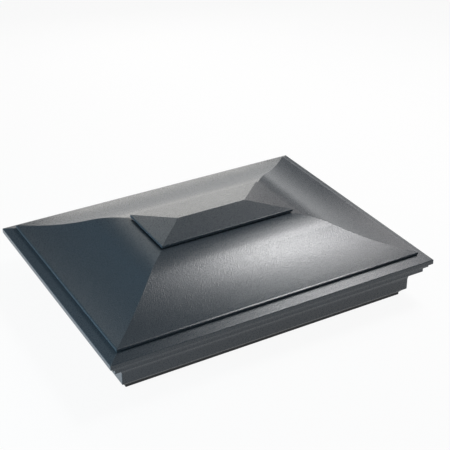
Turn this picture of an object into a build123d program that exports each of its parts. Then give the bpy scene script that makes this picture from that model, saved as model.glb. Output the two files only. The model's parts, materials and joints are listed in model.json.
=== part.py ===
"""Closed rain cap for a rectangular brick stack.

Four mitred rails of one extruded section make the frame: a sloping rim over a
stepped cornice, a skirt with a rubber seal at its foot, and a flange that bears
on the brickwork. Two bars across the flange carry four pillars. The ogee hood
stands on the pillars, over a narrow drip slot, and a low hipped cover hides its
screws.

Millimetres. The origin is the plan centre at the foot of the seals, X runs
along the long side, the front faces -Y and Z is up.
"""

import os
from math import atan, cos, degrees, hypot, radians, sin, sqrt, tan

from build123d import *

os.makedirs("parts", exist_ok=True)


# Brick stack: two bricks long and one and a half bricks wide
stack_length = 430.0
stack_width = 322.0
stack_tolerance = 1.0

# Rail section, widths measured inwards from the rim's drip edge
rail_wall = 2.0
rim_run = 22.0
rim_rise = 5.5
fascia_height = 7.0
upper_step_inset = 4.5
upper_step_height = 6.0
lower_step_inset = 9.5
lower_step_height = 9.0
skirt_inset = 24.0
skirt_height = 33.5
flange_inset = 90.0
kerb_inset = 50.0
kerb_clearance = 1.0
rim_edge_radius = 1.0
fascia_foot_radius = 0.5
upper_cove_fall = 0.8
upper_cove_radius = 4.7
step_edge_radius = 0.6
lower_cove_radius = 13.8
skirt_foot_radius = 2.4
mitre_gap = 0.2

# Rubber seal in the carrier at the skirt's foot
carrier_width = 5.0
carrier_height = 5.0
carrier_slot = 2.2
carrier_clearance = 1.0
seal_fit = 0.2
flap_thickness = 1.8
flap_root = 1.5
flap_drop = 10.5
flap_lip_height = 4.0
flap_clearance = 0.3

# Ogee hood
hood_inset = 16.0
hood_slot = 1.2
hood_lip_height = 3.8
hood_skin = 2.0
hood_rise = 38.3
hood_lip_slope = 7.0
hood_bend_slope = 27.4
hood_bend_inset = 101.0
platform_inset = 145.0
hood_edge_radius = 0.9

# Top cover
cover_setback = 0.25
cover_slot = 2.0
cover_lip_height = 3.6
cover_rise = 5.2
cover_skin = 1.5
cover_edge_radius = 0.8

# Corner cleats, crimped in the rails' chamber
cleat_leg = 60.0
cleat_fit = 0.2
cleat_tip_chamfer = 1.5
crimp_from_corner = 48.0
crimp_width = 4.0
crimp_depth = 1.6

# Bars across the flange and their screws
bar_width = 15.0
bar_thickness = 4.0
bar_end_gap = 4.0
bar_screw_inset = 71.0
bar_screw_radius = 2.0
bar_screw_head_radius = 3.7
countersink_angle = 90.0

# Pillars between the bars and the hood
pillar_end_inset = 35.0
pillar_side_inset = 23.0
pillar_across_flats = 10.0
pillar_stud_radius = 2.5
pillar_stud_cover = 0.4
pillar_seat_gap = 0.2
pillar_bore_spare = 2.0

# Hood screws and washers
hood_screw_radius = 2.5
hood_screw_length = 16.0
hood_screw_across_flats = 8.0
hood_screw_head_height = 3.5
hood_screw_hole_clearance = 0.25
washer_radius = 6.0
washer_thickness = 1.5

# Grommets in the platform and the cover's studs
stud_end_inset = 15.0
stud_radius = 2.5
stud_across_flats = 8.0
stud_collar_gap = 0.2
stud_tip_drop = 9.0
grommet_neck_radius = 4.5
grommet_neck_length = 3.5
grommet_flange_radius = 6.0
grommet_flange_height = 1.2

# Rubber pads that keep the drip slot open
pad_inset = 34.0
pad_width = 8.0
pad_length = 14.0
pad_gap = 0.3
pad_from_corner = 100.0

# Anchor holes through the flange, for the brickwork
anchor_from_corner = 100.0
anchor_inset = 74.0
anchor_hole_radius = 3.25

# General clearances of holes
tapped_clearance = 0.1
lift_clearance = 0.3


# Plan sizes that follow: the socket is the space that the seals leave for the stack
socket_inset = skirt_inset + carrier_width + 2 * rail_wall + carrier_clearance
rim_length = stack_length + 2 * (stack_tolerance + socket_inset)
rim_width = stack_width + 2 * (stack_tolerance + socket_inset)
pillar_x = rim_length / 2 - platform_inset - pillar_end_inset
pillar_y = rim_width / 2 - platform_inset - pillar_side_inset
stud_x = rim_length / 2 - platform_inset - stud_end_inset
anchor_reach = rim_length / 2 - anchor_from_corner

# Heights that follow, from the seals' foot upwards
skirt_foot = flap_drop
soffit = skirt_foot + skirt_height
upper_soffit = soffit + lower_step_height
fascia_foot = upper_soffit + upper_step_height
upper_cove_top = fascia_foot - upper_cove_fall
rim_edge = fascia_foot + fascia_height
flange_top = rim_edge + rim_rise
flange_foot = flange_top - rail_wall
carrier_top = skirt_foot + carrier_height + 2 * rail_wall

# Hood: a hollow arc from the lip to the steepest slope, and a round one from there to
# the platform. An arc climbs its run at the mean of the slopes at its ends.
rim_slope = rim_rise / rim_run
hood_lip_foot = rim_edge + rim_slope * min(hood_inset, rim_run) + hood_slot
hood_shoulder = hood_lip_foot + hood_lip_height
platform_top = hood_shoulder + hood_rise
platform_foot = platform_top - hood_skin
lip_slope = radians(hood_lip_slope)
bend_slope = radians(hood_bend_slope)
sweep_run = hood_bend_inset - hood_inset
crown_run = platform_inset - hood_bend_inset
crown_rise = hood_rise - sweep_run * tan((lip_slope + bend_slope) / 2)
crown_slope = 2 * atan(crown_rise / crown_run) - bend_slope
hood_sweep_radius = sweep_run / (sin(bend_slope) - sin(lip_slope))
hood_crown_radius = crown_run / (sin(bend_slope) - sin(crown_slope))

# Cover: one slope all round
cover_inset = platform_inset + cover_setback
cover_half_width = rim_width / 2 - cover_inset
cover_lip_foot = platform_top + cover_slot
cover_eaves = cover_lip_foot + cover_lip_height
cover_slope = cover_rise / cover_half_width
cover_drop = cover_skin * hypot(1, cover_slope)

# The four sides, as turns of the front about the vertical axis
SIDES = {"front": 0, "right": 90, "back": 180, "left": 270}
LONG_SIDES = ("front", "back")


def half_depth(side):
    """Distance from the plan centre out to a side's drip edge."""
    return rim_width / 2 if side in LONG_SIDES else rim_length / 2


def half_run(side):
    """Half the length of a side, measured along its drip edge."""
    return rim_length / 2 if side in LONG_SIDES else rim_width / 2


def side_plane(side):
    """Section plane of a side: x runs inwards from the drip edge and y runs up."""
    inwards = Vector(0, 1, 0).rotate(Axis.Z, SIDES[side])
    along = Vector(1, 0, 0).rotate(Axis.Z, SIDES[side])
    return Plane(origin=inwards * -half_depth(side), x_dir=inwards, z_dir=along)


def on_side(side, along, inset, height):
    """Point of a side: along it from its middle, inwards from its drip edge, and up."""
    plane = side_plane(side)
    return plane.origin + plane.z_dir * along + plane.x_dir * inset + Vector(0, 0, height)


def hood_underside(inset):
    """Height of the hood's underside over a place below its hollow curve."""
    from_centre = inset - hood_inset + hood_sweep_radius * sin(lip_slope)
    centre_height = hood_shoulder + hood_sweep_radius * cos(lip_slope)
    return centre_height - sqrt((hood_sweep_radius + hood_skin) ** 2 - from_centre**2)


def cut_mitres(side):
    """Trim both ends of the length being made at 45 degrees, for its neighbours."""
    plane = side_plane(side)
    for end in (-1, 1):
        corner = on_side(side, end * half_run(side), 0, 0)
        mitre = Plane(origin=corner, z_dir=plane.z_dir * end + plane.x_dir)
        split(bisect_by=mitre.offset(-mitre_gap / 2), keep=Keep.BOTTOM)


def save(piece, name):
    """Label a finished piece and write it under its own name."""
    piece.part.label = name
    export_step(piece.part, f"parts/{name}.step")


# Section of the rails
def corner_of(section, inset, height):
    """The section's corner nearest to a place."""
    return section.vertices().sort_by_distance((inset, height))[0]


def cornice_outline():
    """Closed outline of the stepped cornice and the sloping rim over it."""
    Polyline(
        (0, rim_edge),
        (rim_run, flange_top),
        (skirt_inset + rail_wall, flange_top),
        (skirt_inset + rail_wall, soffit),
        (lower_step_inset, soffit),
        (lower_step_inset, upper_soffit),
        (upper_step_inset, upper_soffit),
        (upper_step_inset, upper_cove_top),
        (0, fascia_foot),
        close=True,
    )


def upright_strip(inset, width, foot, height, mode=Mode.ADD):
    """Rectangle of the section, placed by its outer foot."""
    with Locations((inset + width / 2, foot + height / 2)):
        Rectangle(width, height, mode=mode)


with BuildSketch() as chamber_section:
    with BuildLine():
        cornice_outline()
    make_face()
    offset(amount=-rail_wall, kind=Kind.INTERSECTION)

kerb_top = hood_underside(kerb_inset) - kerb_clearance

with BuildSketch() as rail_section:
    with BuildLine():
        cornice_outline()
    make_face()
    upright_strip(skirt_inset, rail_wall, skirt_foot, soffit - skirt_foot)
    upright_strip(skirt_inset, flange_inset - skirt_inset, flange_foot, rail_wall)
    upright_strip(kerb_inset, rail_wall, flange_foot, kerb_top - flange_foot)
    upright_strip(
        skirt_inset, carrier_width + 2 * rail_wall, skirt_foot, carrier_top - skirt_foot
    )
    add(chamber_section.sketch, mode=Mode.SUBTRACT)
    upright_strip(
        skirt_inset + rail_wall,
        carrier_width,
        skirt_foot + rail_wall,
        carrier_height,
        mode=Mode.SUBTRACT,
    )
    upright_strip(
        skirt_inset + rail_wall + (carrier_width - carrier_slot) / 2,
        carrier_slot,
        skirt_foot,
        rail_wall,
        mode=Mode.SUBTRACT,
    )
    fillet(corner_of(rail_section, upper_step_inset, upper_cove_top), upper_cove_radius)
    fillet(corner_of(rail_section, skirt_inset, soffit), lower_cove_radius)
    fillet(corner_of(rail_section, 0, rim_edge), rim_edge_radius)
    fillet(corner_of(rail_section, 0, fascia_foot), fascia_foot_radius)
    step_corners = [
        corner_of(rail_section, upper_step_inset, upper_soffit),
        corner_of(rail_section, lower_step_inset, soffit),
    ]
    fillet(step_corners, step_edge_radius)
    fillet(corner_of(rail_section, skirt_inset, skirt_foot), skirt_foot_radius)


# Room for the cleats in the foot of the chamber
cleat_outer = lower_step_inset + rail_wall + cleat_fit
cleat_inner = skirt_inset - cleat_fit
cleat_foot = soffit + rail_wall + cleat_fit
cleat_top = rim_edge + rim_slope * cleat_outer - rail_wall * hypot(1, rim_slope) - cleat_fit


# Places of the holes in the flange
def flange_planes(side, reach, inset):
    """Two places on the underside of a long side's flange, facing down."""
    return [
        Plane(origin=on_side(side, along, inset, flange_foot), z_dir=(0, 0, -1))
        for along in (-reach, reach)
    ]


def bar_screw_planes():
    """Places of all the bars' screws on the underside of the flange."""
    return [plane for side in LONG_SIDES for plane in flange_planes(side, pillar_x, bar_screw_inset)]


# Rails
def make_rail(side):
    """One mitred rail, with the holes that its side needs."""
    with BuildPart() as rail:
        with BuildSketch(side_plane(side)):
            add(rail_section.sketch)
        extrude(amount=half_run(side), both=True)
        cut_mitres(side)
        if side in LONG_SIDES:
            with Locations(*flange_planes(side, pillar_x, bar_screw_inset)):
                CounterSinkHole(
                    radius=bar_screw_radius + tapped_clearance,
                    counter_sink_radius=bar_screw_head_radius + tapped_clearance,
                    depth=rail_wall,
                    counter_sink_angle=countersink_angle,
                )
            with Locations(*flange_planes(side, anchor_reach, anchor_inset)):
                Hole(radius=anchor_hole_radius, depth=rail_wall)
    return rail


for side in SIDES:
    save(make_rail(side), f"{side}_rail")


# Wall seals: a head in the carrier, a neck through its slot and a flap to the wall
with BuildSketch() as seal_section:
    neck_middle = skirt_inset + rail_wall + carrier_width / 2
    neck_half = carrier_slot / 2 - seal_fit
    head_foot = skirt_foot + rail_wall + seal_fit
    flap_tip = socket_inset - flap_clearance
    upright_strip(
        neck_middle - carrier_width / 2 + seal_fit,
        carrier_width - 2 * seal_fit,
        head_foot,
        carrier_height - 2 * seal_fit,
    )
    with BuildLine():
        Polyline(
            (neck_middle - neck_half, head_foot),
            (neck_middle - neck_half, skirt_foot - flap_root),
            (flap_tip - flap_thickness, flap_lip_height),
            (flap_tip - flap_thickness, 0),
            (flap_tip, 0),
            (flap_tip, flap_lip_height),
            (neck_middle + neck_half, skirt_foot - flap_root),
            (neck_middle + neck_half, head_foot),
            close=True,
        )
    make_face()


def make_seal(side):
    """One mitred length of seal."""
    with BuildPart() as seal:
        with BuildSketch(side_plane(side)):
            add(seal_section.sketch)
        extrude(amount=half_run(side), both=True)
        cut_mitres(side)
    return seal


for side in SIDES:
    save(make_seal(side), f"wall_seal_{side}")


# Corner cleats: angle blocks in the foot of the chamber, crimped behind each mitre
def make_cleat(x_side, y_side):
    """Angle block for the corner on the given sides of the plan centre."""
    tip = cleat_outer + cleat_leg
    crimp_start = crimp_from_corner - crimp_width / 2
    crimp_end = crimp_from_corner + crimp_width / 2
    half_outline = (
        (tip - cleat_tip_chamfer, cleat_outer),
        (tip, cleat_outer + cleat_tip_chamfer),
        (tip, cleat_inner - cleat_tip_chamfer),
        (tip - cleat_tip_chamfer, cleat_inner),
        (crimp_end, cleat_inner),
        (crimp_from_corner, cleat_inner - crimp_depth),
        (crimp_start, cleat_inner),
    )
    other_half = [(across, along) for along, across in reversed(half_outline)]
    outline = [(cleat_outer, cleat_outer), *half_outline, (cleat_inner, cleat_inner), *other_half]
    with BuildPart() as cleat:
        with BuildSketch(Plane.XY.offset(cleat_foot)):
            with BuildLine():
                Polyline(
                    *(
                        (x_side * (rim_length / 2 - inset_x), y_side * (rim_width / 2 - inset_y))
                        for inset_x, inset_y in outline
                    ),
                    close=True,
                )
            make_face()
        extrude(amount=cleat_top - cleat_foot)
    return cleat


for x_name, x_side in (("left", -1), ("right", 1)):
    for y_name, y_side in (("front", -1), ("back", 1)):
        save(make_cleat(x_side, y_side), f"corner_cleat_{y_name}_{x_name}")


# Bars across the opening, on the flange and inside the kerb
bar_length = rim_width - 2 * (kerb_inset + rail_wall + bar_end_gap)


def make_bar(x_side):
    """Flat bar under one pair of pillars."""
    with BuildPart() as bar:
        with BuildSketch(Plane.XY.offset(flange_top)):
            with Locations((x_side * pillar_x, 0)):
                Rectangle(bar_width, bar_length)
        extrude(amount=bar_thickness)
        with Locations(*bar_screw_planes()):
            Hole(radius=bar_screw_radius + tapped_clearance, depth=rail_wall + bar_thickness)
        with Locations(Plane.XY.offset(flange_top + bar_thickness)):
            with GridLocations(2 * pillar_x, 2 * pillar_y, 2, 2):
                Hole(radius=pillar_stud_radius + tapped_clearance, depth=bar_thickness)
    return bar


save(make_bar(-1), "bridge_bar_left")
save(make_bar(1), "bridge_bar_right")

with BuildPart() as bridge_screws:
    for seat in bar_screw_planes():
        with BuildSketch(seat):
            Circle(bar_screw_radius)
        extrude(amount=-(rail_wall + bar_thickness))
        with BuildSketch(seat):
            Circle(bar_screw_head_radius)
        extrude(amount=-(bar_screw_head_radius - bar_screw_radius), taper=countersink_angle / 2)
save(bridge_screws, "bridge_screws")


# Pillars: hexagonal standoffs with a stud below and a threaded bore above
pillar_foot = flange_top + bar_thickness
pillar_top = platform_foot - pillar_seat_gap
hood_screw_tip = platform_top + washer_thickness - hood_screw_length


def make_pillar(x_side, y_side):
    """Standoff for one corner of the platform."""
    with BuildPart() as pillar:
        with BuildSketch(Plane.XY.offset(pillar_foot)):
            with Locations((x_side * pillar_x, y_side * pillar_y)):
                RegularPolygon(pillar_across_flats / 2, 6, major_radius=False)
        extrude(amount=pillar_top - pillar_foot)
        with BuildSketch(Plane.XY.offset(pillar_foot)):
            with Locations((x_side * pillar_x, y_side * pillar_y)):
                Circle(pillar_stud_radius)
        extrude(amount=pillar_stud_cover - bar_thickness)
        with BuildSketch(Plane.XY.offset(pillar_top)):
            with Locations((x_side * pillar_x, y_side * pillar_y)):
                Circle(hood_screw_radius + lift_clearance)
        bore_depth = pillar_top - hood_screw_tip + pillar_bore_spare
        extrude(amount=-bore_depth, mode=Mode.SUBTRACT)
    return pillar


for x_name, x_side in (("left", -1), ("right", 1)):
    for y_name, y_side in (("front", -1), ("back", 1)):
        save(make_pillar(x_side, y_side), f"hood_pillar_{y_name}_{x_name}")


# Hood: the ogee profile run along both plan axes, keeping what both runs share
def ogee_face(half_span, skin):
    """Closed ogee profile, drawn parallel to the outside at a depth of skin."""
    with BuildSketch() as face:
        with BuildLine():
            reach = half_span - skin * sin(lip_slope)
            base = Line((0, hood_lip_foot), (reach, hood_lip_foot))
            lip = Line(base @ 1, (reach, hood_shoulder - skin * cos(lip_slope)))
            sweep = JernArc(
                start=lip @ 1,
                tangent=(-cos(lip_slope), sin(lip_slope)),
                radius=hood_sweep_radius + skin,
                arc_size=-degrees(bend_slope - lip_slope),
            )
            crown = JernArc(
                start=sweep @ 1,
                tangent=sweep % 1,
                radius=hood_crown_radius - skin,
                arc_size=degrees(bend_slope - crown_slope),
            )
            Line(crown @ 1, (0, (crown @ 1).Y))
            mirror(about=Plane.YZ)
        make_face()
        if skin == 0:
            fillet(
                [corner_of(face, end * half_span, hood_shoulder) for end in (-1, 1)],
                hood_edge_radius,
            )
    return face.sketch


def hipped_form(profile, inset, skin):
    """Run a profile along both plan axes and keep what the two runs share."""
    with BuildSketch(Plane.XZ) as long_way:
        add(profile(rim_length / 2 - inset, skin))
    extrude(long_way.sketch, amount=rim_width / 2 - inset - skin, both=True)
    with BuildSketch(Plane.YZ) as short_way:
        add(profile(rim_width / 2 - inset, skin))
    cut_reach = rim_length / 2 - inset - skin
    extrude(short_way.sketch, amount=cut_reach, both=True, mode=Mode.INTERSECT)


with BuildPart() as hood_hollow:
    hipped_form(ogee_face, hood_inset, hood_skin)

with BuildPart() as hood_shell:
    hipped_form(ogee_face, hood_inset, 0)
    add(hood_hollow.part, mode=Mode.SUBTRACT)
    with Locations(Plane.XY.offset(platform_top)):
        with GridLocations(2 * pillar_x, 2 * pillar_y, 2, 2):
            Hole(radius=hood_screw_radius + hood_screw_hole_clearance, depth=hood_skin)
        with GridLocations(2 * stud_x, 2 * pillar_y, 2, 2):
            Hole(radius=grommet_neck_radius + tapped_clearance, depth=hood_skin)
save(hood_shell, "hood_shell")

with BuildPart() as hood_washers:
    with BuildSketch(Plane.XY.offset(platform_top)):
        with GridLocations(2 * pillar_x, 2 * pillar_y, 2, 2):
            Circle(washer_radius)
            Circle(hood_screw_radius + tapped_clearance, mode=Mode.SUBTRACT)
    extrude(amount=washer_thickness)
save(hood_washers, "hood_washers")

with BuildPart() as hood_screws:
    head_seat = Plane.XY.offset(platform_top + washer_thickness)
    with BuildSketch(head_seat):
        with GridLocations(2 * pillar_x, 2 * pillar_y, 2, 2):
            RegularPolygon(hood_screw_across_flats / 2, 6, major_radius=False)
    extrude(amount=hood_screw_head_height)
    with BuildSketch(head_seat):
        with GridLocations(2 * pillar_x, 2 * pillar_y, 2, 2):
            Circle(hood_screw_radius)
    extrude(amount=-hood_screw_length)
save(hood_screws, "hood_screws")


# Grommets: a flange on the platform and a neck through its hole
with BuildPart() as cover_grommets:
    for radius, height in (
        (grommet_flange_radius, grommet_flange_height),
        (grommet_neck_radius, -grommet_neck_length),
    ):
        with BuildSketch(Plane.XY.offset(platform_top)):
            with GridLocations(2 * stud_x, 2 * pillar_y, 2, 2):
                Circle(radius)
                Circle(stud_radius + lift_clearance, mode=Mode.SUBTRACT)
        extrude(amount=height)
save(cover_grommets, "cover_grommets")


# Rubber pads between the flange and the hood's edge
pad_height = hood_underside(pad_inset - pad_width / 2) - pad_gap - flange_top


def pad_places(side):
    """Distances of a side's pads along it: near both corners, and midway on a long side."""
    reach = half_run(side) - pad_from_corner
    return (-reach, 0, reach) if side in LONG_SIDES else (-reach, reach)


with BuildPart() as vent_spacers:
    for side in SIDES:
        for along in pad_places(side):
            seat = Plane(
                origin=on_side(side, along, pad_inset, flange_top),
                x_dir=side_plane(side).z_dir,
            )
            with BuildSketch(seat):
                Rectangle(pad_length, pad_width)
            extrude(amount=pad_height)
save(vent_spacers, "vent_spacers")


# Top cover: one gable profile run along both plan axes
def gable_face(half_span, skin):
    """Closed gable profile with a level foot, at a depth of skin inside the outside."""
    half = half_span - skin
    eaves = cover_eaves + cover_slope * skin - (cover_drop if skin else 0)
    with BuildSketch() as face:
        with BuildLine():
            Polyline(
                (-half, cover_lip_foot),
                (-half, eaves),
                (0, eaves + cover_slope * half),
                (half, eaves),
                (half, cover_lip_foot),
                close=True,
            )
        make_face()
        if skin == 0:
            fillet([corner_of(face, end * half, eaves) for end in (-1, 1)], cover_edge_radius)
    return face.sketch


with BuildPart() as cover_hollow:
    hipped_form(gable_face, cover_inset, cover_skin)

with BuildPart() as top_cover:
    hipped_form(gable_face, cover_inset, 0)
    add(cover_hollow.part, mode=Mode.SUBTRACT)
save(top_cover, "top_cover")

# Studs: a hexagonal collar cut to the slope under the cover, and a tip in the grommet
with BuildPart() as cover_studs:
    collar_foot = platform_top + grommet_flange_height + stud_collar_gap
    with BuildSketch(Plane.XY.offset(cover_lip_foot)):
        with GridLocations(2 * stud_x, 2 * pillar_y, 2, 2):
            RegularPolygon(stud_across_flats / 2, 6, major_radius=False)
    extrude(amount=cover_rise + cover_lip_height)
    add(cover_hollow.part, mode=Mode.INTERSECT)
    with BuildSketch(Plane.XY.offset(collar_foot)):
        with GridLocations(2 * stud_x, 2 * pillar_y, 2, 2):
            RegularPolygon(stud_across_flats / 2, 6, major_radius=False)
    extrude(amount=cover_lip_foot - collar_foot)
    with BuildSketch(Plane.XY.offset(collar_foot)):
        with GridLocations(2 * stud_x, 2 * pillar_y, 2, 2):
            Circle(stud_radius)
    extrude(amount=-stud_tip_drop)
save(cover_studs, "cover_studs")
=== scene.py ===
"""Dressed model of a closed rain cap for a brick stack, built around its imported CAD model.

Laid out as an add-on: property groups hold the sizes, colours and stage settings,
one operator builds each piece or group of like pieces, and a panel lists them.
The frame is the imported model: metres, origin at the plan centre of the seals'
foot, X along the long side, the front faces -Y and Z is up.
"""

import json
import math

import bmesh
import bpy
from bpy.props import FloatProperty, FloatVectorProperty, PointerProperty
from bpy.types import Operator, Panel, PropertyGroup
from mathutils import Euler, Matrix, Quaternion, Vector

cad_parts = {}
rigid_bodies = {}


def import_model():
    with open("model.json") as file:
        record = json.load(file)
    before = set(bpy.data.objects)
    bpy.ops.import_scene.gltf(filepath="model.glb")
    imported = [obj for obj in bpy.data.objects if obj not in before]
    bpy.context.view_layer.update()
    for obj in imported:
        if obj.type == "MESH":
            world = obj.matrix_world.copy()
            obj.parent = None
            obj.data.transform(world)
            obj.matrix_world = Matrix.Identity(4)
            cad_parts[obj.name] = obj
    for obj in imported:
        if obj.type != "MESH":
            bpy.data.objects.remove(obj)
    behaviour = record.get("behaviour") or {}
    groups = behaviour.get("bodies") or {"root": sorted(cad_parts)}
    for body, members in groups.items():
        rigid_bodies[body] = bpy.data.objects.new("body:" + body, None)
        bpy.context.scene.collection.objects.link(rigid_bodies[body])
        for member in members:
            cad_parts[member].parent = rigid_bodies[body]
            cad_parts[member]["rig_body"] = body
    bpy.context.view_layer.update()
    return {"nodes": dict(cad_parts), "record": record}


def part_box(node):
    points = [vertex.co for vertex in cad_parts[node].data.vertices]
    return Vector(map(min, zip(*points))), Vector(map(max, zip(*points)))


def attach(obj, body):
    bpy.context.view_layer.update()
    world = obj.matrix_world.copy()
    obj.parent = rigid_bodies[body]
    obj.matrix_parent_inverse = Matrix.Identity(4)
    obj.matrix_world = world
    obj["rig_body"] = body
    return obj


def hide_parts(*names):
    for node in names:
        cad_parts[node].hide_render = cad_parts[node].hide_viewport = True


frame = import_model()

bl_info = {
    "name": "Closed rain cap",
    "version": (1, 0, 0),
    "blender": (4, 5, 0),
    "location": "3D View > Sidebar > Rain cap",
    "description": "Builds the dressed pieces of a closed rain cap around its packed model",
    "category": "Object",
}

MM = 0.001

# The four sides, as turns of the front about the vertical axis
SIDES = {"front": 0, "right": 90, "back": 180, "left": 270}
LONG_SIDES = ("front", "back")
CORNERS = ("front_left", "front_right", "back_left", "back_right")

# Order of a rectangle's corners in a ring, as signs of its half sizes
RECTANGLE = ((1, -1), (1, 1), (-1, 1), (-1, -1))

# Edges that turn by more than this are drawn sharp
CREASE_ANGLE = math.radians(28)

# Points this near are made one, and points this near to a level lie on it
WELD_DISTANCE = 1e-7
SAME_LEVEL = 1e-6

# Steps of a rounded corner, of a small one, of the hood's curves and of a turn of thread
ARC_STEPS = 6
FINE_STEPS = 4
SWEEP_STEPS = 28
RINGS_PER_TURN = 8

# Round pieces, and hexagonal ones whose ends are turned to a share of their width
ROUND_SIDES = 48
RING_ANGLES = [2 * math.pi * step / ROUND_SIDES for step in range(ROUND_SIDES)]
TURNED_SHARE = 0.97
CHAMFER_SLOPE = math.tan(math.radians(30))

# Stage: what the lamps look at and from how far, and how bright floor and walls are
LAMP_AIM = (0, 0, 0.08)
LAMP_DISTANCE = 1.2
WHITE = (1.0, 1.0, 1.0, 1.0)
FLOOR_WHITE = 0.93
WALL_DIM = 0.04

# Where the walls' white band ends and the dim part begins, in degrees above the floor
BAND_FADE = (3, 9)


def length(name, description, millimetres):
    """A length property, with its default given in millimetres."""
    return FloatProperty(
        name=name,
        description=description,
        default=millimetres * MM,
        min=0.0,
        unit="LENGTH",
        precision=5,
    )


def slant(name, description, degrees):
    """An angle property, with its default given in degrees."""
    return FloatProperty(
        name=name,
        description=description,
        default=math.radians(degrees),
        subtype="ANGLE",
        unit="ROTATION",
    )


def shade(name, description, colour):
    """A colour property, in linear light."""
    return FloatVectorProperty(
        name=name,
        description=description,
        default=colour,
        size=3,
        min=0.0,
        max=1.0,
        subtype="COLOR",
    )


# Sizes
class RailSizes(PropertyGroup):
    """Section of the four rails, widths measured inwards from the rim's drip edge."""

    wall: length("Wall", "Thickness of the extrusion's walls", 2.0)
    rim_run: length("Rim run", "Width of the sloping rim", 22.0)
    rim_rise: length("Rim rise", "Height that the rim gains over its width", 5.5)
    fascia: length("Fascia", "Height of the rim's outer face", 7.0)
    upper_step_inset: length("Upper step inset", "Set-back of the step under the fascia", 4.5)
    upper_step_height: length("Upper step height", "Height of the step under the fascia", 6.0)
    lower_step_inset: length("Lower step inset", "Set-back of the lower step", 9.5)
    lower_step_height: length("Lower step height", "Height of the lower step", 9.0)
    skirt_inset: length("Skirt inset", "Set-back of the skirt", 24.0)
    skirt_height: length("Skirt height", "Height of the skirt under the soffit", 33.5)
    kerb_inset: length("Kerb inset", "Place of the upstand on the flange", 50.0)
    flange_inset: length("Flange inset", "Inner edge of the bearing flange", 90.0)
    carrier_width: length("Carrier width", "Clear width of the seal's carrier", 5.0)
    carrier_height: length("Carrier height", "Clear height of the seal's carrier", 5.0)
    carrier_slot: length("Carrier slot", "Width of the slot that the seal passes", 2.2)
    rim_radius: length("Rim radius", "Rounding of the rim's upper outer edge", 1.0)
    fascia_radius: length("Fascia radius", "Rounding of the fascia's lower edge", 0.5)
    cove_fall: length("Cove fall", "Drop of the fascia's underside to its cove", 1.6)
    upper_cove: length("Upper cove", "Radius of the hollow under the fascia", 4.6)
    step_radius: length("Step radius", "Rounding of the steps' lower edges", 0.6)
    soffit_fall: length("Soffit fall", "Drop of the lower step's underside to its cove", 4.0)
    lower_cove: length("Lower cove", "Radius of the hollow under the lower step", 16.0)
    foot_radius: length("Foot radius", "Rounding of the skirt's foot", 2.4)
    arris: length("Arris", "Rounding of the other edges", 0.3)
    mitre_gap: length("Mitre gap", "Hairline between two rails at a corner", 0.2)


class SealSizes(PropertyGroup):
    """Section of the rubber seal at the skirt's foot."""

    fit: length("Fit", "Gap around the head in its carrier", 0.2)
    flap: length("Flap", "Thickness of the flap's tip", 1.8)
    flap_root: length("Flap root", "Drop of the neck before the flap leans in", 1.5)
    flap_edge: length("Flap edge", "Rounding of the flap's tip", 0.6)
    lip_height: length("Lip height", "Height of the upright lip at the wall", 4.0)


class HoodSizes(PropertyGroup):
    """Ogee hood, runs measured inwards from its own edge."""

    skin: length("Skin", "Thickness of the hood", 2.0)
    lip: length("Lip", "Height of the turned-down edge", 3.8)
    bend_run: length("Bend run", "Where the hollow curve turns into the round one", 85.0)
    platform_run: length("Platform run", "Where the flat top begins", 129.0)
    lip_slope: slant("Lip slope", "Slope of the hollow curve at the hood's edge", 7.0)
    bend_slope: slant("Bend slope", "Steepest slope, where the two curves meet", 27.4)
    edge_run: length("Edge run", "Width of the bevel along the hood's edge", 1.8)
    edge_slope: slant("Edge slope", "Slope of the bevel along the hood's edge", 25.0)
    edge_radius: length("Edge radius", "Rounding of the lip's upper edge", 0.4)
    arris: length("Arris", "Rounding of the lip's lower edges", 0.3)
    screw_hole: length("Screw hole", "Radius of the holes for the hood's screws", 2.75)
    grommet_hole: length("Grommet hole", "Radius of the holes for the grommets", 4.6)


class CoverSizes(PropertyGroup):
    """Low hipped cover over the hood's flat top."""

    skin: length("Skin", "Thickness of the cover", 1.5)
    lip: length("Lip", "Height of the turned-down edge", 3.6)
    rise: length("Rise", "Height of the ridge over the eaves", 5.2)
    edge_radius: length("Edge radius", "Rounding of the eaves", 0.8)
    arris: length("Arris", "Rounding of the lip's lower edges", 0.25)


class FixingSizes(PropertyGroup):
    """Bars, pillars, screws, studs and rubber pieces."""

    bar_edge: length("Bar edge", "Chamfer of the bars' long edges", 0.5)
    bar_corner: length("Bar corner", "Rounding of the bars' corners in plan", 1.5)
    countersunk_radius: length("Countersunk radius", "Radius of a countersunk head", 3.7)
    bar_screw_radius: length("Bar screw radius", "Radius of the bars' screws", 2.0)
    hole_clearance: length("Hole clearance", "Room around a screw in its hole", 0.1)
    stud_radius: length("Stud radius", "Radius of the hood's screws and of all studs", 2.5)
    pillar_flats: length("Pillar flats", "Pillars across their flats", 10.0)
    pillar_bore: length("Pillar bore", "Radius of the pillars' threaded bores", 2.8)
    bore_depth: length("Bore depth", "Depth of the pillars' bores", 14.3)
    head_flats: length("Head flats", "Screw heads and stud collars across their flats", 8.0)
    thread_pitch: length("Thread pitch", "Pitch of the hood's screws", 0.8)
    thread_depth: length("Thread depth", "Depth of their threads", 0.4)
    washer_radius: length("Washer radius", "Outer radius of the sealing washers", 6.0)
    flange_radius: length("Flange radius", "Outer radius of the grommets' flanges", 6.0)
    neck_radius: length("Neck radius", "Outer radius of the grommets' necks", 4.5)
    pad_length: length("Pad length", "Length of a rubber pad along its side", 14.0)
    pad_width: length("Pad width", "Width of a rubber pad", 8.0)
    pad_inset: length("Pad inset", "Place of the outer pads from the rim's corners", 100.0)
    pad_edge: length("Pad edge", "Rounding of the rubber pads", 0.4)


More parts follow.
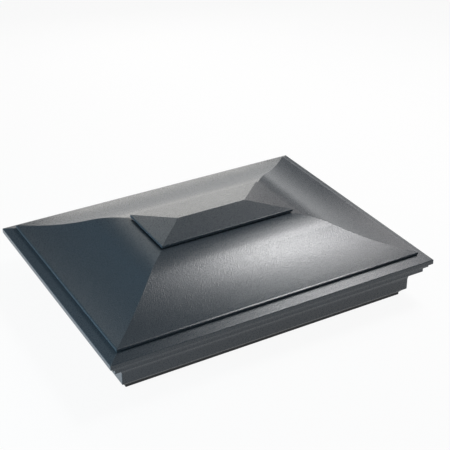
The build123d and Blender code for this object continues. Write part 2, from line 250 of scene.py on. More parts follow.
# Colours and stage
class FinishColours(PropertyGroup):
    """Colours of the finishes."""

    coat: shade("Coat", "Anthracite powder coat", (0.036, 0.046, 0.056))
    # Lighter coat colour for the outer edges: a painted highlight that stands in for the light
    # the rounded edges catch, not wear
    edge_highlight: shade("Painted edge highlight", "Painted highlight that lightens the powder coat along its edges", (0.07, 0.088, 0.102))
    aluminium: shade("Aluminium", "Mill-finish aluminium", (0.600, 0.612, 0.625))
    stainless: shade("Stainless", "Bright stainless steel", (0.560, 0.555, 0.540))
    rubber: shade("Rubber", "Matt black rubber", (0.016, 0.0165, 0.0175))
    dust: shade("Dust", "Pale dust that settles on top", (0.30, 0.29, 0.27))
    floor: shade("Floor", "Pale studio floor", (0.80, 0.80, 0.80))


class StageSettings(PropertyGroup):
    """Camera, floor and lamps."""

    camera_place: FloatVectorProperty(
        name="Camera place",
        description="Where the camera stands",
        default=(-0.64887, -1.19667, 0.86845),
        size=3,
        subtype="TRANSLATION",
        unit="LENGTH",
        precision=5,
    )
    camera_turn: slant("Camera turn", "Turn about the vertical, 0 looking along +Y", -29.26)
    camera_tilt: slant("Camera tilt", "How far the camera looks down below the level", 29.54)
    camera_roll: slant("Camera roll", "Roll about the line of sight", -0.38)
    lens: FloatProperty(
        name="Lens",
        description="Focal length on a 36 mm sensor, in millimetres",
        default=86.86,
        min=1.0,
        subtype="DISTANCE_CAMERA",
    )
    floor_reach: length("Floor reach", "Half the side of the floor", 6000.0)


# Small helpers for meshes
def turned(vector, angle):
    """A plan vector turned about the vertical axis."""
    cosine, sine = math.cos(angle), math.sin(angle)
    return Vector((vector[0] * cosine - vector[1] * sine, vector[0] * sine + vector[1] * cosine))


def rounded_outline(corners, steps=ARC_STEPS):
    """Closed outline through corners given as (across, up, radius), each one rounded."""
    outline = []
    spots = [Vector(corner[:2]) for corner in corners]
    for index, (spot, corner) in enumerate(zip(spots, corners)):
        arriving = (spot - spots[index - 1]).normalized()
        leaving = (spots[(index + 1) % len(spots)] - spot).normalized()
        turn = math.atan2(arriving.cross(leaving), arriving.dot(leaving))
        radius = corner[2]
        if radius == 0:
            outline.append(spot)
            continue
        start = spot - arriving * radius * math.tan(abs(turn) / 2)
        side = turned(arriving, math.copysign(math.pi / 2, turn))
        centre = start + side * radius
        for step in range(steps + 1):
            outline.append(centre + turned(start - centre, turn * step / steps))
    return outline


def skin_rings(mesh, rings):
    """Join rings of equally many points with quads, and return their vertices."""
    made = [[mesh.verts.new(point) for point in ring] for ring in rings]
    for low, high in zip(made, made[1:]):
        for here in range(len(low)):
            there = (here + 1) % len(low)
            mesh.faces.new((low[here], low[there], high[there], high[here]))
    return made


def crease(mesh, pairs):
    """Draw the edges between pairs of vertices sharp."""
    for here, there in pairs:
        mesh.edges.get((here, there)).smooth = False


def closed_skin(mesh, rings):
    """Skin of rings with a face at each end."""
    made = skin_rings(mesh, rings)
    mesh.faces.new(reversed(made[0]))
    mesh.faces.new(made[-1])


def fill_face(mesh, loops):
    """Fill a flat face given its outline and the rims of its holes, as loops of vertices."""
    edges = []
    for loop in loops:
        for here, there in zip(loop, loop[1:] + loop[:1]):
            edges.append(mesh.edges.get((here, there)) or mesh.edges.new((here, there)))
    bmesh.ops.triangle_fill(mesh, use_beauty=True, edges=edges)


def around(centre, reach, angle, height):
    """Point at a reach and an angle about an upright axis."""
    return Vector(
        (centre[0] + reach * math.cos(angle), centre[1] + reach * math.sin(angle), height)
    )


def circle_rings(centre, *profile):
    """Rings about an upright axis, from pairs of a radius and a height."""
    return [
        [around(centre, radius, angle, height) for angle in RING_ANGLES]
        for radius, height in profile
    ]


def hexagon_ring(centre, across_flats, height, chamfer=0.0):
    """Ring around a hexagonal bar.

    A chamfer lowers its corners, as at a turned upper end, and one below 0 raises them.
    """
    sixth = math.pi / 3
    ring = []
    for angle in RING_ANGLES:
        reach = across_flats / 2 / math.cos((angle + sixth / 2) % sixth - sixth / 2)
        drop = max(0.0, reach - across_flats / 2 * TURNED_SHARE) * CHAMFER_SLOPE * chamfer
        ring.append(around(centre, reach, angle, height - drop))
    return ring


def block_rings(centre, half_x, half_y, corner, low, high, edge):
    """Rings of a flat block with rounded corners and eased upper and lower edges."""
    rings = []
    inner = max(corner - edge, edge)
    for height, inset, radius in (
        (low, edge, inner),
        (low + edge, 0, corner),
        (high - edge, 0, corner),
        (high, edge, inner),
    ):
        corners = [(x * (half_x - inset), y * (half_y - inset), radius) for x, y in RECTANGLE]
        outline = rounded_outline(corners, FINE_STEPS)
        rings.append([Vector((centre[0] + x, centre[1] + y, height)) for x, y in outline])
    return rings


def rounded_turning(centre, corners):
    """Rings of a turned ring-shaped piece, from its section as (radius, height, rounding)."""
    section = rounded_outline(corners, FINE_STEPS)
    return circle_rings(centre, *section, section[0])


def drill(mesh, holes, heights, outlines):
    """Walls of plain holes between two heights, and the two faces that they pierce."""
    faces = [[outline] for outline in outlines]
    for place, radius in holes:
        rims = skin_rings(mesh, circle_rings(place, *((radius, height) for height in heights)))
        for face, rim in zip(faces, rims):
            face.append(rim)
    for face in faces:
        fill_face(mesh, face)


def piece_from(mesh, name, slot, node):
    """Make an object of a finished mesh, and let it stand for its CAD node on the node's body."""
    bmesh.ops.remove_doubles(mesh, verts=mesh.verts, dist=WELD_DISTANCE)
    bmesh.ops.recalc_face_normals(mesh, faces=mesh.faces)
    for face in mesh.faces:
        face.smooth = True
    for edge in mesh.edges:
        if edge.calc_face_angle(math.pi) > CREASE_ANGLE:
            edge.smooth = False
    data = bpy.data.meshes.new(name)
    mesh.to_mesh(data)
    mesh.free()
    data.materials.append(finish(slot))
    piece = bpy.data.objects.new(name, data)
    bpy.context.scene.collection.objects.link(piece)
    even = piece.modifiers.new("even_shading", "WEIGHTED_NORMAL")
    even.keep_sharp = True
    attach(piece, frame["nodes"][node]["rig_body"])
    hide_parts(node)


# Places of the small pieces, read from the CAD
def places_in(node, reach):
    """Plan places of the four like solids at the corners of a node's box."""
    low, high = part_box(node)
    return [
        (x, y)
        for x in (low.x + reach, high.x - reach)
        for y in (low.y + reach, high.y - reach)
    ]


def middle_of(node):
    """Plan centre of a node's box."""
    low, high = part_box(node)
    return ((low.x + high.x) / 2, (low.y + high.y) / 2)


def pillar_places():
    """Plan places of the four pillars."""
    return [middle_of(f"hood_pillar_{corner}") for corner in CORNERS]


def grommet_places():
    """Plan places of the four grommets and of the studs in them."""
    return places_in("cover_grommets", bpy.context.scene.cap_fixing.flange_radius)


def bar_screw_places():
    """Plan places of the four countersunk screws."""
    return places_in("bridge_screws", bpy.context.scene.cap_fixing.countersunk_radius)


# Rails and seals: mitred lengths of one section
def rim_half(side):
    """Half depth and half run of a side, measured at the rim's drip edge."""
    half_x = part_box("right_rail")[1].x
    half_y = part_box("back_rail")[1].y
    return (half_y, half_x) if side in LONG_SIDES else (half_x, half_y)


def mitred_skin(mesh, side, outline, gap):
    """Skin of a section's outline from mitre to mitre of a side, as its two end loops."""
    half_depth, half_run = rim_half(side)
    angle = math.radians(SIDES[side])
    inwards = turned((0, 1), angle)
    sideways = turned((1, 0), angle)
    trim = gap / math.sqrt(2)
    rings = []
    for end in (-1, 1):
        ring = []
        for point in outline:
            along = end * (half_run - point.x - trim)
            spot = inwards * (point.x - half_depth) + sideways * along
            ring.append(Vector((spot.x, spot.y, point.y)))
        rings.append(ring)
    return skin_rings(mesh, rings)


def flange_holes():
    """Plan place, lower radius and upper radius of each hole through the flanges."""
    fixing = bpy.context.scene.cap_fixing
    screw = fixing.bar_screw_radius + fixing.hole_clearance
    head = fixing.countersunk_radius + fixing.hole_clearance
    holes = [(place, head, screw) for place in bar_screw_places()]
    anchors = next(m for m in frame["record"]["mounts"] if m["name"] == "anchor_holes")["dims"]
    radius = anchors["hole_r_mm"] * MM
    half_x = anchors["spacing_x_mm"] * MM / 2
    half_y = anchors["spacing_y_mm"] * MM / 2
    holes += [((x, y), radius, radius) for x in (-half_x, half_x) for y in (-half_y, half_y)]
    return holes


def rail_outlines(sizes):
    """Outer outline of the rails' section and the outline of its chamber."""
    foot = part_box("front_rail")[0].z
    kerb_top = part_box("front_rail")[1].z
    soffit = foot + sizes.skirt_height
    upper_soffit = soffit + sizes.lower_step_height
    fascia_foot = upper_soffit + sizes.upper_step_height
    rim_edge = fascia_foot + sizes.fascia
    flange_top = rim_edge + sizes.rim_rise
    wall = sizes.wall
    flange_foot = flange_top - wall
    skirt_inner = sizes.skirt_inset + wall
    cavity_end = skirt_inner + sizes.carrier_width
    carrier_end = cavity_end + wall
    cavity_foot = foot + wall
    cavity_top = cavity_foot + sizes.carrier_height
    carrier_top = cavity_top + wall
    slot_start = skirt_inner + (sizes.carrier_width - sizes.carrier_slot) / 2
    slot_end = slot_start + sizes.carrier_slot
    kerb_end = sizes.kerb_inset + wall
    fine = sizes.arris
    outer = (
        (0, rim_edge, sizes.rim_radius),
        (sizes.rim_run, flange_top, fine),
        (sizes.kerb_inset, flange_top, fine),
        (sizes.kerb_inset, kerb_top, fine),
        (kerb_end, kerb_top, fine),
        (kerb_end, flange_top, fine),
        (sizes.flange_inset, flange_top, fine),
        (sizes.flange_inset, flange_foot, fine),
        (skirt_inner, flange_foot, fine),
        (skirt_inner, carrier_top, fine),
        (carrier_end, carrier_top, fine),
        (carrier_end, foot, fine),
        (slot_end, foot, fine),
        (slot_end, cavity_foot, fine),
        (cavity_end, cavity_foot, 0),
        (cavity_end, cavity_top, 0),
        (skirt_inner, cavity_top, 0),
        (skirt_inner, cavity_foot, 0),
        (slot_start, cavity_foot, fine),
        (slot_start, foot, fine),
        (sizes.skirt_inset, foot, sizes.foot_radius),
        (sizes.skirt_inset, soffit - sizes.soffit_fall, sizes.lower_cove),
        (sizes.lower_step_inset, soffit, sizes.step_radius),
        (sizes.lower_step_inset, upper_soffit, fine),
        (sizes.upper_step_inset, upper_soffit, sizes.step_radius),
        (sizes.upper_step_inset, fascia_foot - sizes.cove_fall, sizes.upper_cove),
        (0, fascia_foot, sizes.fascia_radius),
    )
    slope = sizes.rim_rise / sizes.rim_run
    under_rim = rim_edge - wall * math.hypot(1, slope)
    chamber = (
        (wall, under_rim + slope * wall, 0),
        ((flange_foot - under_rim) / slope, flange_foot, 0),
        (sizes.skirt_inset, flange_foot, 0),
        (sizes.skirt_inset, soffit + wall, 0),
        (sizes.lower_step_inset + wall, soffit + wall, 0),
        (sizes.lower_step_inset + wall, upper_soffit + wall, 0),
        (sizes.upper_step_inset + wall, upper_soffit + wall, 0),
        (sizes.upper_step_inset + wall, fascia_foot + wall, 0),
        (wall, fascia_foot + wall, 0),
    )
    return rounded_outline(outer), rounded_outline(chamber), flange_foot, flange_top


def cut_flange(mesh, holes, low, high):
    """Cut holes through the flange: its two wide faces are filled again around them."""
    strips = []
    for level in (low, high):
        flat = [
            face
            for face in mesh.faces
            if all(abs(point.co.z - level) < SAME_LEVEL for point in face.verts)
        ]
        strips.append(max(flat, key=lambda face: face.calc_area()))
    loops = [[list(strip.verts)] for strip in strips]
    bmesh.ops.delete(mesh, geom=strips, context="FACES_ONLY")
    for place, low_radius, high_radius in holes:
        throat = low + (low_radius - high_radius)
        rings = circle_rings(place, (low_radius, low), (high_radius, throat), (high_radius, high))
        walls = skin_rings(mesh, rings if throat > low else rings[1:])
        loops[0].append(walls[0])
        loops[1].append(walls[-1])
    for level_loops in loops:
        fill_face(mesh, level_loops)


def build_rail(side):
    """One mitred rail of the frame."""
    sizes = bpy.context.scene.cap_rail
    outer, chamber, flange_foot, flange_top = rail_outlines(sizes)
    mesh = bmesh.new()
    skins = [mitred_skin(mesh, side, outline, sizes.mitre_gap) for outline in (outer, chamber)]
    for end_loops in zip(*skins):
        fill_face(mesh, end_loops)
    if side in LONG_SIDES:
        facing = -1 if side == "front" else 1
        holes = [hole for hole in flange_holes() if hole[0][1] * facing > 0]
        cut_flange(mesh, holes, flange_foot, flange_top)
    piece_from(mesh, f"rail_{side}", "satin_coat", f"{side}_rail")


def build_seal(side):
    """One mitred length of rubber seal: a head in the carrier, a neck and a flap to the wall."""
    rail = bpy.context.scene.cap_rail
    seal = bpy.context.scene.cap_seal
    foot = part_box("front_rail")[0].z
    flap_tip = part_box("wall_seal_front")[1].y + rim_half("front")[0]
    middle = rail.skirt_inset + rail.wall + rail.carrier_width / 2
    neck = rail.carrier_slot / 2 - seal.fit
    head = rail.carrier_width / 2 - seal.fit
    head_foot = foot + rail.wall + seal.fit
    head_top = head_foot + rail.carrier_height - 2 * seal.fit
    turn_height = foot - seal.flap_root
    wall_edge = seal.flap_edge * 0.3
    outline = rounded_outline(
        (
            (middle - neck, head_foot, 0),
            (middle - head, head_foot, rail.arris),
            (middle - head, head_top, rail.arris),
            (middle + head, head_top, rail.arris),
            (middle + head, head_foot, rail.arris),
            (middle + neck, head_foot, 0),
            (middle + neck, turn_height, rail.arris),
            (flap_tip, seal.lip_height, seal.flap),
            (flap_tip, 0, wall_edge),
            (flap_tip - seal.flap, 0, seal.flap_edge),
            (flap_tip - seal.flap, seal.lip_height, seal.flap),
            (middle - neck, turn_height, rail.arris),
        )
    )
    mesh = bmesh.new()
    for end_loop in mitred_skin(mesh, side, outline, rail.mitre_gap):
        fill_face(mesh, [end_loop])
    piece_from(mesh, f"seal_{side}", "black_rubber", f"wall_seal_{side}")


# Hood and cover: rings of a rectangle, run along a section
def rectangle_ring(half_x, half_y, height):
    """Ring of four corners."""
    return [Vector((x * half_x, y * half_y, height)) for x, y in RECTANGLE]


def hipped_skin(mesh, section, half_x, half_y):
    """Skin that follows a section on all four sides, crisp along its hips."""
    rings = skin_rings(
        mesh, [rectangle_ring(half_x - run, half_y - run, height) for run, height in section]
    )
    for low, high in zip(rings, rings[1:]):
        crease(mesh, zip(low, high))
    return rings


def arc_points(centre, radius, start, end):
    """Points of an arc in the section, angles measured from straight down."""
    angles = [start + (end - start) * step / SWEEP_STEPS for step in range(SWEEP_STEPS + 1)]
    return [
        Vector((centre[0] + radius * math.sin(angle), centre[1] - radius * math.cos(angle)))
        for angle in angles
    ]


def ogee_section(sizes, foot, top):
    """Hood's section from the flat top's edge, down outside, round the lip and up inside."""
    shoulder = foot + sizes.lip
    lip_slope = sizes.lip_slope
    bend_slope = sizes.bend_slope
    crown_run = sizes.platform_run - sizes.bend_run
    crown_rise = top - shoulder - sizes.bend_run * math.tan((lip_slope + bend_slope) / 2)
    crown_slope = 2 * math.atan(crown_rise / crown_run) - bend_slope
    sweep = sizes.bend_run / (math.sin(bend_slope) - math.sin(lip_slope))
    crown = crown_run / (math.sin(bend_slope) - math.sin(crown_slope))
    sweep_centre = (-sweep * math.sin(lip_slope), shoulder + sweep * math.cos(lip_slope))
    crown_centre = (
        sizes.platform_run + crown * math.sin(crown_slope),
        top - crown * math.cos(crown_slope),
    )
    upper, lower = math.pi + crown_slope, math.pi + bend_slope
    bevel = sizes.edge_run
    bevel_top = shoulder + bevel * math.tan(lip_slope)
    sweep_end = bevel * (1 + math.tan((sizes.edge_slope - lip_slope) / 2))
    edge_angle = math.asin((sweep_end - sweep_centre[0]) / sweep)
    inner_angle = math.asin((sizes.skin - sweep_centre[0]) / (sweep + sizes.skin))
    outside = arc_points(crown_centre, crown, upper, lower)
    outside += arc_points(sweep_centre, sweep, bend_slope, edge_angle)[1:-1]
    inside = arc_points(sweep_centre, sweep + sizes.skin, inner_angle, bend_slope)
    inside += arc_points(crown_centre, crown - sizes.skin, lower, upper)[1:]
    lip = rounded_outline(
        (
            (2 * sweep_end, shoulder + 2 * sweep_end * math.tan(lip_slope), 0),
            (bevel, bevel_top, bevel),
            (0, bevel_top - bevel * math.tan(sizes.edge_slope), sizes.edge_radius),
            (0, foot, sizes.arris),
            (sizes.skin, foot, sizes.arris),
            (*inside[0], 0),
        )
    )
    return outside + lip[1:-1] + inside


def build_hood():
    """Ogee hood: one skin with crisp hips, a turned-down lip and holes in its flat top."""
    sizes = bpy.context.scene.cap_hood
    low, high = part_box("hood_shell")
    section = ogee_section(sizes, low.z, high.z)
    mesh = bmesh.new()
    rings = hipped_skin(mesh, section, high.x, high.y)
    holes = [(place, sizes.screw_hole) for place in pillar_places()]
    holes += [(place, sizes.grommet_hole) for place in grommet_places()]
    drill(mesh, holes, (high.z, section[-1].y), (rings[0], rings[-1]))
    piece_from(mesh, "ogee_hood", "satin_coat", "hood_shell")


def cover_slope(sizes):
    """Rise over run of the cover's four slopes."""
    return sizes.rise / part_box("top_cover")[1].y


def cover_underside(place):
    """Height of the cover's underside over a plan place."""
    sizes = bpy.context.scene.cap_cover
    low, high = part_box("top_cover")
    slope = cover_slope(sizes)
    run = min(high.x - abs(place[0]), high.y - abs(place[1]))
    return low.z + sizes.lip + slope * run - sizes.skin * math.hypot(1, slope)


def build_cover():
    """Low hipped cover with a turned-down lip."""
    sizes = bpy.context.scene.cap_cover
    low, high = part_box("top_cover")
    eaves = low.z + sizes.lip
    slope = cover_slope(sizes)
    ridge = eaves + slope * high.y
    inner_drop = sizes.skin * math.hypot(1, slope)
    section = rounded_outline(
        (
            (high.y, ridge, 0),
            (0, eaves, sizes.edge_radius),
            (0, low.z, sizes.arris),
            (sizes.skin, low.z, sizes.arris),
            (sizes.skin, eaves + slope * sizes.skin - inner_drop, 0),
            (high.y, ridge - inner_drop, 0),
        )
    )
    mesh = bmesh.new()
    rings = hipped_skin(mesh, section, high.x, high.y)
    for ring in (rings[0], rings[-1]):
        crease(mesh, zip(ring, ring[1:] + ring[:1]))
    bmesh.ops.dissolve_degenerate(mesh, dist=WELD_DISTANCE, edges=mesh.edges)
    piece_from(mesh, "hipped_cover", "satin_coat", "top_cover")


# Pieces inside
def build_bar(hand):
    """Flat bar across the opening, with eased edges and its four holes."""
    fixing = bpy.context.scene.cap_fixing
    node = f"bridge_bar_{hand}"
    low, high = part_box(node)
    centre = middle_of(node)
    half = (high - low) / 2
    block = block_rings(
        centre, half.x, half.y, fixing.bar_corner, low.z, high.z, fixing.bar_edge
    )
    mesh = bmesh.new()
    rings = skin_rings(mesh, block)
    screw = fixing.bar_screw_radius + fixing.hole_clearance
    stud = fixing.stud_radius + fixing.hole_clearance
    holes = [(place, screw) for place in bar_screw_places()]
    holes += [(place, stud) for place in pillar_places()]
    holes = [hole for hole in holes if abs(hole[0][0] - centre[0]) < half.x]
    drill(mesh, holes, (low.z, high.z), (rings[0], rings[-1]))
    piece_from(mesh, f"flat_bar_{hand}", "mill_aluminium", node)


def build_countersunk_screws():
    """Countersunk screws up through the flanges into the bars, with hexagon sockets."""
    fixing = bpy.context.scene.cap_fixing
    low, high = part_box("bridge_screws")
    head = fixing.countersunk_radius
    shank = fixing.bar_screw_radius
    socket_flats = shank * 1.25
    socket_depth = head - shank
    rim = 0.25 * MM
    mesh = bmesh.new()
    for place in bar_screw_places():
        rings = [
            hexagon_ring(place, socket_flats, low.z + socket_depth),
            hexagon_ring(place, socket_flats, low.z),
        ]
        rings += circle_rings(
            place,
            (head - rim / 2, low.z),
            (head, low.z + rim / 2),
            (head, low.z + rim),
            (shank, low.z + head - shank + rim),
            (shank, high.z - 2 * rim),
            (shank - 2 * rim, high.z),
        )
        closed_skin(mesh, rings)
    piece_from(mesh, "countersunk_screws", "stainless", "bridge_screws")


def build_pillar(corner):
    """Hexagonal standoff: turned ends, a stud below and a threaded bore above."""
    fixing = bpy.context.scene.cap_fixing
    node = f"hood_pillar_{corner}"
    low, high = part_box(node)
    bar_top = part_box("bridge_bar_left")[1].z
    place = middle_of(node)
    flats = fixing.pillar_flats
    end_radius = flats / 2 * 0.94
    lead = 0.5 * MM
    stud = fixing.stud_radius
    bore = fixing.pillar_bore
    rings = circle_rings(
        place,
        (bore, high.z - fixing.bore_depth),
        (bore, high.z - lead),
        (bore + lead, high.z),
        (end_radius, high.z),
    )
    rings.append(hexagon_ring(place, flats, high.z, chamfer=1))
    rings.append(hexagon_ring(place, flats, bar_top, chamfer=-1))
    rings += circle_rings(
        place,
        (end_radius, bar_top),
        (stud, bar_top),
        (stud, low.z + lead),
        (stud - lead, low.z),
    )
    mesh = bmesh.new()
    closed_skin(mesh, rings)
    piece_from(mesh, f"standoff_{corner}", "stainless", node)


def threaded_rings(place, radius, depth, pitch, low, high):
    """Rings of a screw thread between two heights, each point on its own turn of the helix."""
    levels = int((high - low) / pitch * RINGS_PER_TURN)
    rings = []
    for level in range(levels + 1):
        height = low + (high - low) * level / levels
        fade = min(1.0, (height - low) / pitch, (high - height) / pitch)
        ring = []
        for step, angle in enumerate(RING_ANGLES):
            phase = (height / pitch - step / ROUND_SIDES) % 1
            cut = depth * fade * abs(2 * phase - 1)
            ring.append(around(place, radius - cut, angle, height))
        rings.append(ring)
    return rings


def build_hexagon_screws():
    """Hexagon-head screws with chamfered heads and cut threads, which hold the hood."""
    fixing = bpy.context.scene.cap_fixing
    low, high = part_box("hood_screws")
    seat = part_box("hood_washers")[1].z
    flats = fixing.head_flats
    shank = fixing.stud_radius
    depth = fixing.thread_depth
    pitch = fixing.thread_pitch
    lead = 0.5 * MM
    seat_radius = flats / 2 * 0.95
    crown_radius = flats / 2 * 0.92
    mesh = bmesh.new()
    for place in pillar_places():
        rings = circle_rings(place, (shank - 2 * lead, low.z))
        rings += threaded_rings(place, shank, depth, pitch, low.z + lead, seat - lead)
        rings += circle_rings(place, (shank, seat), (seat_radius, seat))
        rings.append(hexagon_ring(place, flats, seat, chamfer=-0.4))
        rings.append(hexagon_ring(place, flats, high.z, chamfer=1))
        rings += circle_rings(place, (crown_radius, high.z))
        closed_skin(mesh, rings)
    piece_from(mesh, "hexagon_screws", "stainless", "hood_screws")


def build_washers():
    """Sealing washers under the screw heads, with a rounded rim."""
    fixing = bpy.context.scene.cap_fixing
    low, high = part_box("hood_washers")
    bore = fixing.stud_radius + fixing.hole_clearance
    rim = fixing.washer_radius
    section = (
        (bore, low.z, 0),
        (rim, low.z, 0.3 * MM),
        (rim, high.z, 0.7 * MM),
        (bore, high.z, 0.2 * MM),
    )
    mesh = bmesh.new()
    for place in pillar_places():
        skin_rings(mesh, rounded_turning(place, section))
    piece_from(mesh, "sealing_washers", "black_rubber", "hood_washers")


def build_grommets():
    """Rubber grommets: a rounded flange on the hood and a neck through it."""
    fixing = bpy.context.scene.cap_fixing
    low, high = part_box("cover_grommets")
    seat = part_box("hood_shell")[1].z
    bore = fixing.stud_radius + 0.3 * MM
    section = (
        (bore, low.z, 0.3 * MM),
        (fixing.neck_radius, low.z, 0.5 * MM),
        (fixing.neck_radius, seat, 0),
        (fixing.flange_radius, seat, 0.2 * MM),
        (fixing.flange_radius, high.z, 0.6 * MM),
        (bore, high.z, 0.4 * MM),
    )
    mesh = bmesh.new()
    for place in grommet_places():
        skin_rings(mesh, rounded_turning(place, section))
    piece_from(mesh, "top_hat_grommets", "black_rubber", "cover_grommets")


def build_studs():
    """Push-in studs: a hexagonal collar cut to the cover's slope, and a grooved, pointed tip."""
    fixing = bpy.context.scene.cap_fixing
    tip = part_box("cover_studs")[0].z
    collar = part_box("cover_grommets")[1].z + 0.2 * MM
    flats = fixing.head_flats
    neck = fixing.stud_radius
    groove = neck - 0.3 * MM
    collar_radius = flats / 2 * 0.95
    mesh = bmesh.new()
    for place in grommet_places():
        roof = hexagon_ring(place, flats, 0)
        for point in roof:
            point.z = cover_underside(point)
        rings = circle_rings(
            place,
            (neck * 0.55, tip),
            (neck * 0.85, tip + 0.5 * MM),
            (neck, tip + 1.6 * MM),
            (neck, tip + 3.0 * MM),
            (groove, tip + 3.4 * MM),
            (groove, tip + 4.4 * MM),
            (neck, tip + 4.8 * MM),
            (neck, collar),
            (collar_radius, collar),
        )
        rings.append(hexagon_ring(place, flats, collar, chamfer=-1))
        closed_skin(mesh, [*rings, roof])
    piece_from(mesh, "push_in_studs", "stainless", "cover_studs")


def pad_places():
    """Plan place and half sizes of each rubber pad: near the corners and midway."""
    fixing = bpy.context.scene.cap_fixing
    low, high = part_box("vent_spacers")
    half_long, half_wide = fixing.pad_length / 2, fixing.pad_width / 2
    reach_x = rim_half("front")[1] - fixing.pad_inset
    reach_y = rim_half("left")[1] - fixing.pad_inset
    places = [
        ((x, y), half_long, half_wide)
        for x in (-reach_x, 0, reach_x)
        for y in (low.y + half_wide, high.y - half_wide)
    ]
    places += [
        ((x, y), half_wide, half_long)
        for x in (low.x + half_wide, high.x - half_wide)
        for y in (-reach_y, reach_y)
    ]
    return places


def build_pads():
    """Rubber pads that keep the drip slot open."""
    edge = bpy.context.scene.cap_fixing.pad_edge
    corner = 2.5 * edge
    low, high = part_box("vent_spacers")
    mesh = bmesh.new()
    for place, half_x, half_y in pad_places():
        closed_skin(mesh, block_rings(place, half_x, half_y, corner, low.z, high.z, edge))
    piece_from(mesh, "edge_pads", "black_rubber", "vent_spacers")


# Shader helpers
def add_node(tree, kind, inputs=None, **settings):
    """Add a shader node, set it up, and set or link its inputs."""
    made = tree.nodes.new(f"ShaderNode{kind}")
    for name, value in settings.items():
        setattr(made, name, value)
    for socket, value in (inputs or {}).items():
        if isinstance(value, bpy.types.NodeSocket):
            tree.links.new(value, made.inputs[socket])
        else:
            made.inputs[socket].default_value = value
    return made


def compute(tree, operation, *values, clamp=False):
    """Result of a maths node."""
    inputs = dict(enumerate(values))
    return add_node(tree, "Math", inputs, operation=operation, use_clamp=clamp).outputs[0]


def noise(tree, place, scale, detail):
    """Noise over a place, from 0 to 1."""
    inputs = {"Vector": place, "Scale": scale, "Detail": detail}
    return add_node(tree, "TexNoise", inputs).outputs["Fac"]


def mapped(tree, value, source=(0.0, 1.0), target=(0.0, 1.0), **settings):
    """A value mapped from one range to another."""
    inputs = {"Value": value}
    inputs.update(zip(("From Min", "From Max", "To Min", "To Max"), (*source, *target)))
    return add_node(tree, "MapRange", inputs, **settings).outputs["Result"]


def blend(tree, share, under, over):
    """Colour between two others, each one given as a socket or as three channels."""
    ends = {"A": under, "B": over}
    for socket, colour in ends.items():
        if not isinstance(colour, bpy.types.NodeSocket):
            ends[socket] = (*colour, 1.0)
    return add_node(tree, "Mix", {"Factor": share, **ends}, data_type="RGBA").outputs["Result"]


def object_place(tree):
    """Place on the piece, in metres."""
    return add_node(tree, "TexCoord").outputs["Object"]


def mottled(tree, mottle, colour, darkest, lightest):
    """A colour that a mottle varies between two shares of it."""
    under, over = ([channel * share for channel in colour] for share in (darkest, lightest))
    return blend(tree, mottle, under, over)


def new_group(name, inputs):
    """Empty shader group with float inputs, and the sockets that give them inside it."""
    group = bpy.data.node_groups.new(name, "ShaderNodeTree")
    for socket, value in inputs.items():
        made = group.interface.new_socket(socket, in_out="INPUT", socket_type="NodeSocketFloat")
        made.default_value = value
    return group, group.nodes.new("NodeGroupInput").outputs


def put_out(group, **results):
    """Put values out of a group, each one through an output of its own name."""
    for socket in results:
        group.interface.new_socket(socket, in_out="OUTPUT", socket_type="NodeSocketFloat")
    end = group.nodes.new("NodeGroupOutput")
    for socket, value in results.items():
        group.links.new(value, end.inputs[socket])
    return group


def shared(tree, name, make, inputs=None):
    """Outputs of a group that several materials share, made when it is first asked for."""
    group = bpy.data.node_groups.get(name) or make(name)
    return add_node(tree, "Group", inputs, node_tree=group).outputs


# Effects that materials share
def fine_grain(name):
    """Fine grain: two sizes of bumps for the height, a fine speckle and a soft mottle."""
    group, given = new_group(name, {"Grains per metre": 1000.0, "Mottles per metre": 120.0})
    place = object_place(group)
    coarse = noise(group, place, given["Grains per metre"], 2.0)
    pits = add_node(
        group,
        "TexVoronoi",
        {"Vector": place, "Scale": given["Grains per metre"]},
        feature="SMOOTH_F1",
    )
    height = compute(group, "ADD", coarse, pits.outputs["Distance"])
    mottle = noise(group, place, given["Mottles per metre"], 3.0)
    return put_out(group, Height=height, Speckle=coarse, Mottle=mottle)


def drawn_lines(name):
    """Drawn lines: fine noise stretched along one axis, as extruding or turning leaves it."""
    group, given = new_group(
        name,
        {
            "Lines per metre": 1500.0,
            "Mottles per metre": 90.0,
            "Stretch X": 1.0,
            "Stretch Y": 1.0,
            "Stretch Z": 1.0,
        },
    )
    place = object_place(group)
    axes = {axis: given[f"Stretch {axis}"] for axis in "XYZ"}
    stretch = add_node(group, "CombineXYZ", axes).outputs["Vector"]
    stretched = add_node(group, "VectorMath", {0: place, 1: stretch}, operation="MULTIPLY")
    lines = noise(group, stretched.outputs["Vector"], given["Lines per metre"], 3.0)
    mottle = noise(group, place, given["Mottles per metre"], 3.0)
    return put_out(group, Height=lines, Mottle=mottle)


def settled_dust(name):
    """Settled dust: a mask that is only there on faces that look up."""
    group, given = new_group(name, {"Amount": 0.05, "Specks per metre": 400.0})
    normal = add_node(group, "NewGeometry").outputs["Normal"]
    up = add_node(group, "SeparateXYZ", {"Vector": normal}).outputs["Z"]
    specks = noise(group, object_place(group), given["Specks per metre"], 4.0)
    spread = compute(group, "MULTIPLY", up, specks, clamp=True)
    return put_out(group, Mask=compute(group, "MULTIPLY", spread, given["Amount"], clamp=True))


def painted_edge_highlights(name):
    """Painted edge highlight: a mask along outer edges, where rays sent inwards soon come out
    again, that lightens the coat there as a painted highlight.
    """
    group, given = new_group(name, {"Reach": 0.9 * MM, "Blotches per metre": 300.0})
    inwards = add_node(
        group,
        "AmbientOcclusion",
        {"Distance": given["Reach"]},
        inside=True,
        only_local=True,
        samples=4,
    )
    # Occlusion levels between no painted highlight and the full painted highlight on an edge
    whole, highlit = 0.95, 0.55
    edge = mapped(group, inwards.outputs["AO"], (whole, highlit))
    blotches = noise(group, object_place(group), given["Blotches per metre"], 3.0)
    uneven = mapped(group, blotches, (0.3, 0.6), (0.4, 1.0))
    return put_out(group, Mask=compute(group, "MULTIPLY", edge, uneven, clamp=True))


